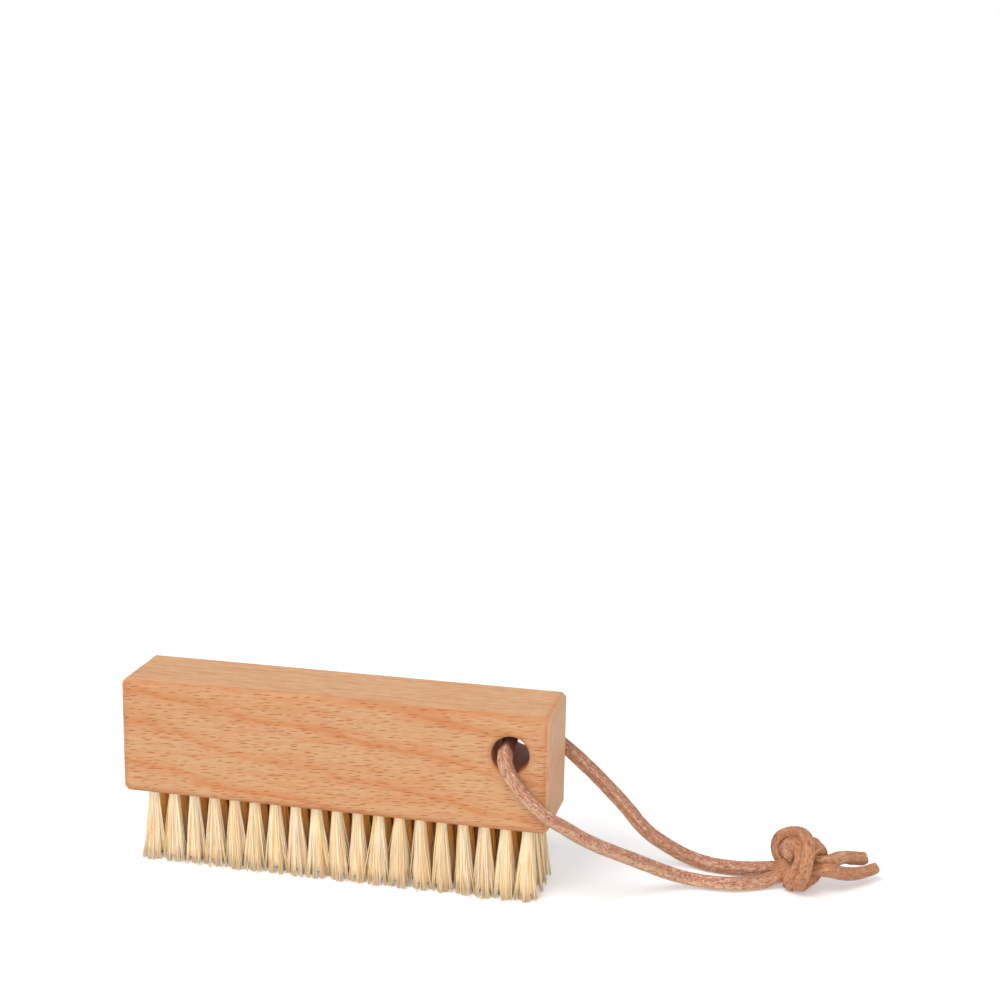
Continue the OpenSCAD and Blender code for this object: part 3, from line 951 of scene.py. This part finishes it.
def planted_piece(name, roots, tree, seed):
    """A plain object with the bristles that the tree plants at the roots."""
    holder = add_piece(f"{name}_roots", roots)
    modifier = holder.modifiers.new("bristles", "NODES")
    modifier.node_group = tree
    modifier[tree.interface.items_tree["Seed"].identifier] = seed
    depsgraph = bpy.context.evaluated_depsgraph_get()
    mesh = bpy.data.meshes.new_from_object(
        holder.evaluated_get(depsgraph), preserve_all_data_layers=True, depsgraph=depsgraph
    )
    holder.modifiers.clear()
    bpy.data.objects.remove(holder)
    mesh.name = name
    return add_piece(name, mesh)


class StageOperator(bpy.types.Operator):
    """Set the camera, the soft light and the pale floor"""

    bl_idname = "nail_brush.set_stage"
    bl_label = "Set the stage"

    def execute(self, context):
        settings = context.scene.nail_brush_stage
        self.set_camera(context, settings)
        self.set_light(context, settings)
        self.set_floor(settings)
        context.scene.view_settings.view_transform = "Standard"
        return {"FINISHED"}

    def set_camera(self, context, settings):
        camera = add_piece("camera", bpy.data.cameras.new("camera"))
        camera.data.lens = settings.lens
        camera.data.sensor_width = settings.sensor
        camera.data.clip_start = 1 * MM
        turned = Euler((math.pi / 2 - settings.pitch, 0, settings.yaw)).to_matrix()
        turned = turned @ Matrix.Rotation(settings.roll, 3, "Z")
        camera.matrix_world = Matrix.Translation(settings.camera) @ turned.to_4x4()
        context.scene.camera = camera

    def set_light(self, context, settings):
        for name, angles in LAMPS.items():
            self.add_light(f"{name}_light", getattr(settings, name), *map(math.radians, angles))
        world = bpy.data.worlds.new("studio")
        world.use_nodes = True
        world.node_tree.nodes.clear()
        graph = Graph(world.node_tree)
        strength = graph.first("ShaderNodeMix", {"Factor": self.is_seen(graph), "A": settings.sky, "B": 1.0})
        background = graph.first("ShaderNodeBackground", {"Color": WHITE, "Strength": strength})
        graph.add("ShaderNodeOutputWorld", {"Surface": background})
        context.scene.world = world

    def add_light(self, name, energy, breadth, tilt, turn):
        """A soft light from far away."""
        light = add_piece(name, bpy.data.lights.new(name, "SUN"))
        light.data.energy = energy
        light.data.angle = breadth
        light.rotation_euler = (tilt, 0, turn)

    def is_seen(self, graph):
        """1 for rays that show the background itself: from the camera, a reflection or through glass."""
        rays = graph.add("ShaderNodeLightPath").outputs
        seen = graph.math("MAXIMUM", rays["Is Camera Ray"], rays["Is Glossy Ray"])
        return graph.math("MAXIMUM", seen, rays["Is Transmission Ray"])

    def set_floor(self, settings):
        material, graph = new_material("floor")
        matt = graph.first("ShaderNodeBsdfDiffuse", {"Color": FLOOR_COLOUR})
        strength = graph.product(self.is_seen(graph), FLOOR_GLOW)
        glow = graph.first("ShaderNodeEmission", {"Color": WHITE, "Strength": strength})
        both = graph.add("ShaderNodeAddShader")
        graph.feed(both.inputs[0], matt)
        graph.feed(both.inputs[1], glow)
        graph.add("ShaderNodeOutputMaterial", {"Surface": both.outputs[0]})
        mesh = bpy.data.meshes.new("floor")
        reach = settings.floor_radius
        corners = [(x * reach, y * reach, 0) for x, y in ((-1, -1), (1, -1), (1, 1), (-1, 1))]
        mesh.from_pydata(corners, [], [(0, 1, 2, 3)])
        add_piece("floor", mesh, material)


class KnotOperator(bpy.types.Operator):
    """Tie the overhand knot and lay out the lace's two tails"""

    bl_idname = "nail_brush.tie_knot"
    bl_label = "Tie the knot"

    def execute(self, context):
        rings, marks = lace_rings(context.scene.nail_brush_lace)
        front = rings[marks[FRONT_TAIL_END]:marks[FRONT_RUN_START] + 1]
        back = rings[marks[BACK_KNOT_START]:marks[BACK_TAIL_START] + 1]
        add_lace_piece(lace_mesh("lace_knot", front, back), "strap_knot")
        add_lace_piece(folds_mesh("lace_folds"))
        tails = rings[:marks[FRONT_TAIL_END] + 1], rings[marks[BACK_TAIL_START]:]
        add_lace_piece(lace_mesh("lace_tails", *tails), "strap_tails")
        return {"FINISHED"}


class LaceOperator(bpy.types.Operator):
    """Run the lace's two free strands from the middle of the hole to the knot"""

    bl_idname = "nail_brush.run_lace"
    bl_label = "Run the lace"

    def execute(self, context):
        settings = context.scene.nail_brush_lace
        rings, marks = lace_rings(settings)
        on_lace = [bpy.data.objects["lace_knot"], bpy.data.objects["lace_tails"]]
        front = rings[marks[FRONT_RUN_START]:marks[HOLE_MIDDLE] + 1]
        front_mesh = lace_mesh("lace_front", front)
        front_piece = add_lace_piece(front_mesh, "strap_front_strand", "strap_through_hole")
        front_exit = in_metres(HOLE_ROUTE[1])
        self.declare(front_piece, front_exit, settings.front_length, settings, list(reversed(front)), on_lace)
        back = rings[marks[HOLE_MIDDLE]:marks[BACK_KNOT_START] + 1]
        back_piece = add_lace_piece(lace_mesh("lace_back", back), "strap_back_strand")
        self.declare(back_piece, in_metres(HOLE_ROUTE[-1]), settings.back_length, settings, back, on_lace)
        return {"FINISHED"}

    def declare(self, piece, leaves, length, settings, rings, on_lace):
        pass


class BristlesOperator(bpy.types.Operator):
    """Plant the bristle tufts, one piece for each column across the block"""

    bl_idname = "nail_brush.plant_bristles"
    bl_label = "Plant the bristles"

    def execute(self, context):
        settings = context.scene.nail_brush_bristles
        tree = bristle_tree(settings, bristle_material(settings))
        for column in range(1, COLUMNS + 1):
            roots = bpy.data.meshes.new("tuft_roots")
            roots.from_pydata(tuft_roots(column), [], [])
            piece = planted_piece(f"bristles_column_{column}", roots, tree, column)
            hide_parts(f"bristle_tufts_{column}")
            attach(piece, "brush")
        return {"FINISHED"}


def finish_node(name, material):
    """Gives a CAD node its material."""
    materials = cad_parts[name].data.materials
    materials.clear()
    materials.append(material)


class BlockOperator(bpy.types.Operator):
    """Give the block its beech"""

    bl_idname = "nail_brush.finish_block"
    bl_label = "Finish the block"

    def execute(self, context):
        finish_node("block", beech_material(context.scene.nail_brush_beech))
        return {"FINISHED"}


class AnchorsOperator(bpy.types.Operator):
    """Give the hidden anchors their metal"""

    bl_idname = "nail_brush.finish_anchors"
    bl_label = "Finish the anchors"

    def execute(self, context):
        material = anchor_material()
        for column in range(1, COLUMNS + 1):
            finish_node(f"tuft_anchors_{column}", material)
        return {"FINISHED"}


STEPS = (StageOperator, KnotOperator, LaceOperator, BristlesOperator, BlockOperator, AnchorsOperator)
SETTINGS = {
    "nail_brush_beech": BeechSettings,
    "nail_brush_bristles": BristleSettings,
    "nail_brush_lace": LaceSettings,
    "nail_brush_stage": StageSettings,
}


class NailBrushPanel(bpy.types.Panel):
    """The nail brush's steps and settings"""

    bl_idname = "VIEW3D_PT_nail_brush"
    bl_label = "Nail Brush"
    bl_space_type = "VIEW_3D"
    bl_region_type = "UI"
    bl_category = "Nail Brush"

    def draw(self, context):
        for step in STEPS:
            self.layout.operator(step.bl_idname)
        for name, group in SETTINGS.items():
            box = self.layout.box()
            box.label(text=group.__doc__)
            for field in group.__annotations__:
                box.prop(getattr(context.scene, name), field)


def register():
    for group in (*SETTINGS.values(), *STEPS, NailBrushPanel):
        bpy.utils.register_class(group)
    for name, group in SETTINGS.items():
        setattr(bpy.types.Scene, name, bpy.props.PointerProperty(type=group))


def unregister():
    for name in SETTINGS:
        delattr(bpy.types.Scene, name)
    for group in (NailBrushPanel, *reversed(STEPS), *reversed(SETTINGS.values())):
        bpy.utils.unregister_class(group)


def main():
    register()
    bpy.ops.nail_brush.set_stage()
    bpy.ops.nail_brush.tie_knot()
    bpy.ops.nail_brush.run_lace()
    bpy.ops.nail_brush.plant_bristles()
    bpy.ops.nail_brush.finish_block()
    bpy.ops.nail_brush.finish_anchors()


if __name__ == "__main__":
    main()
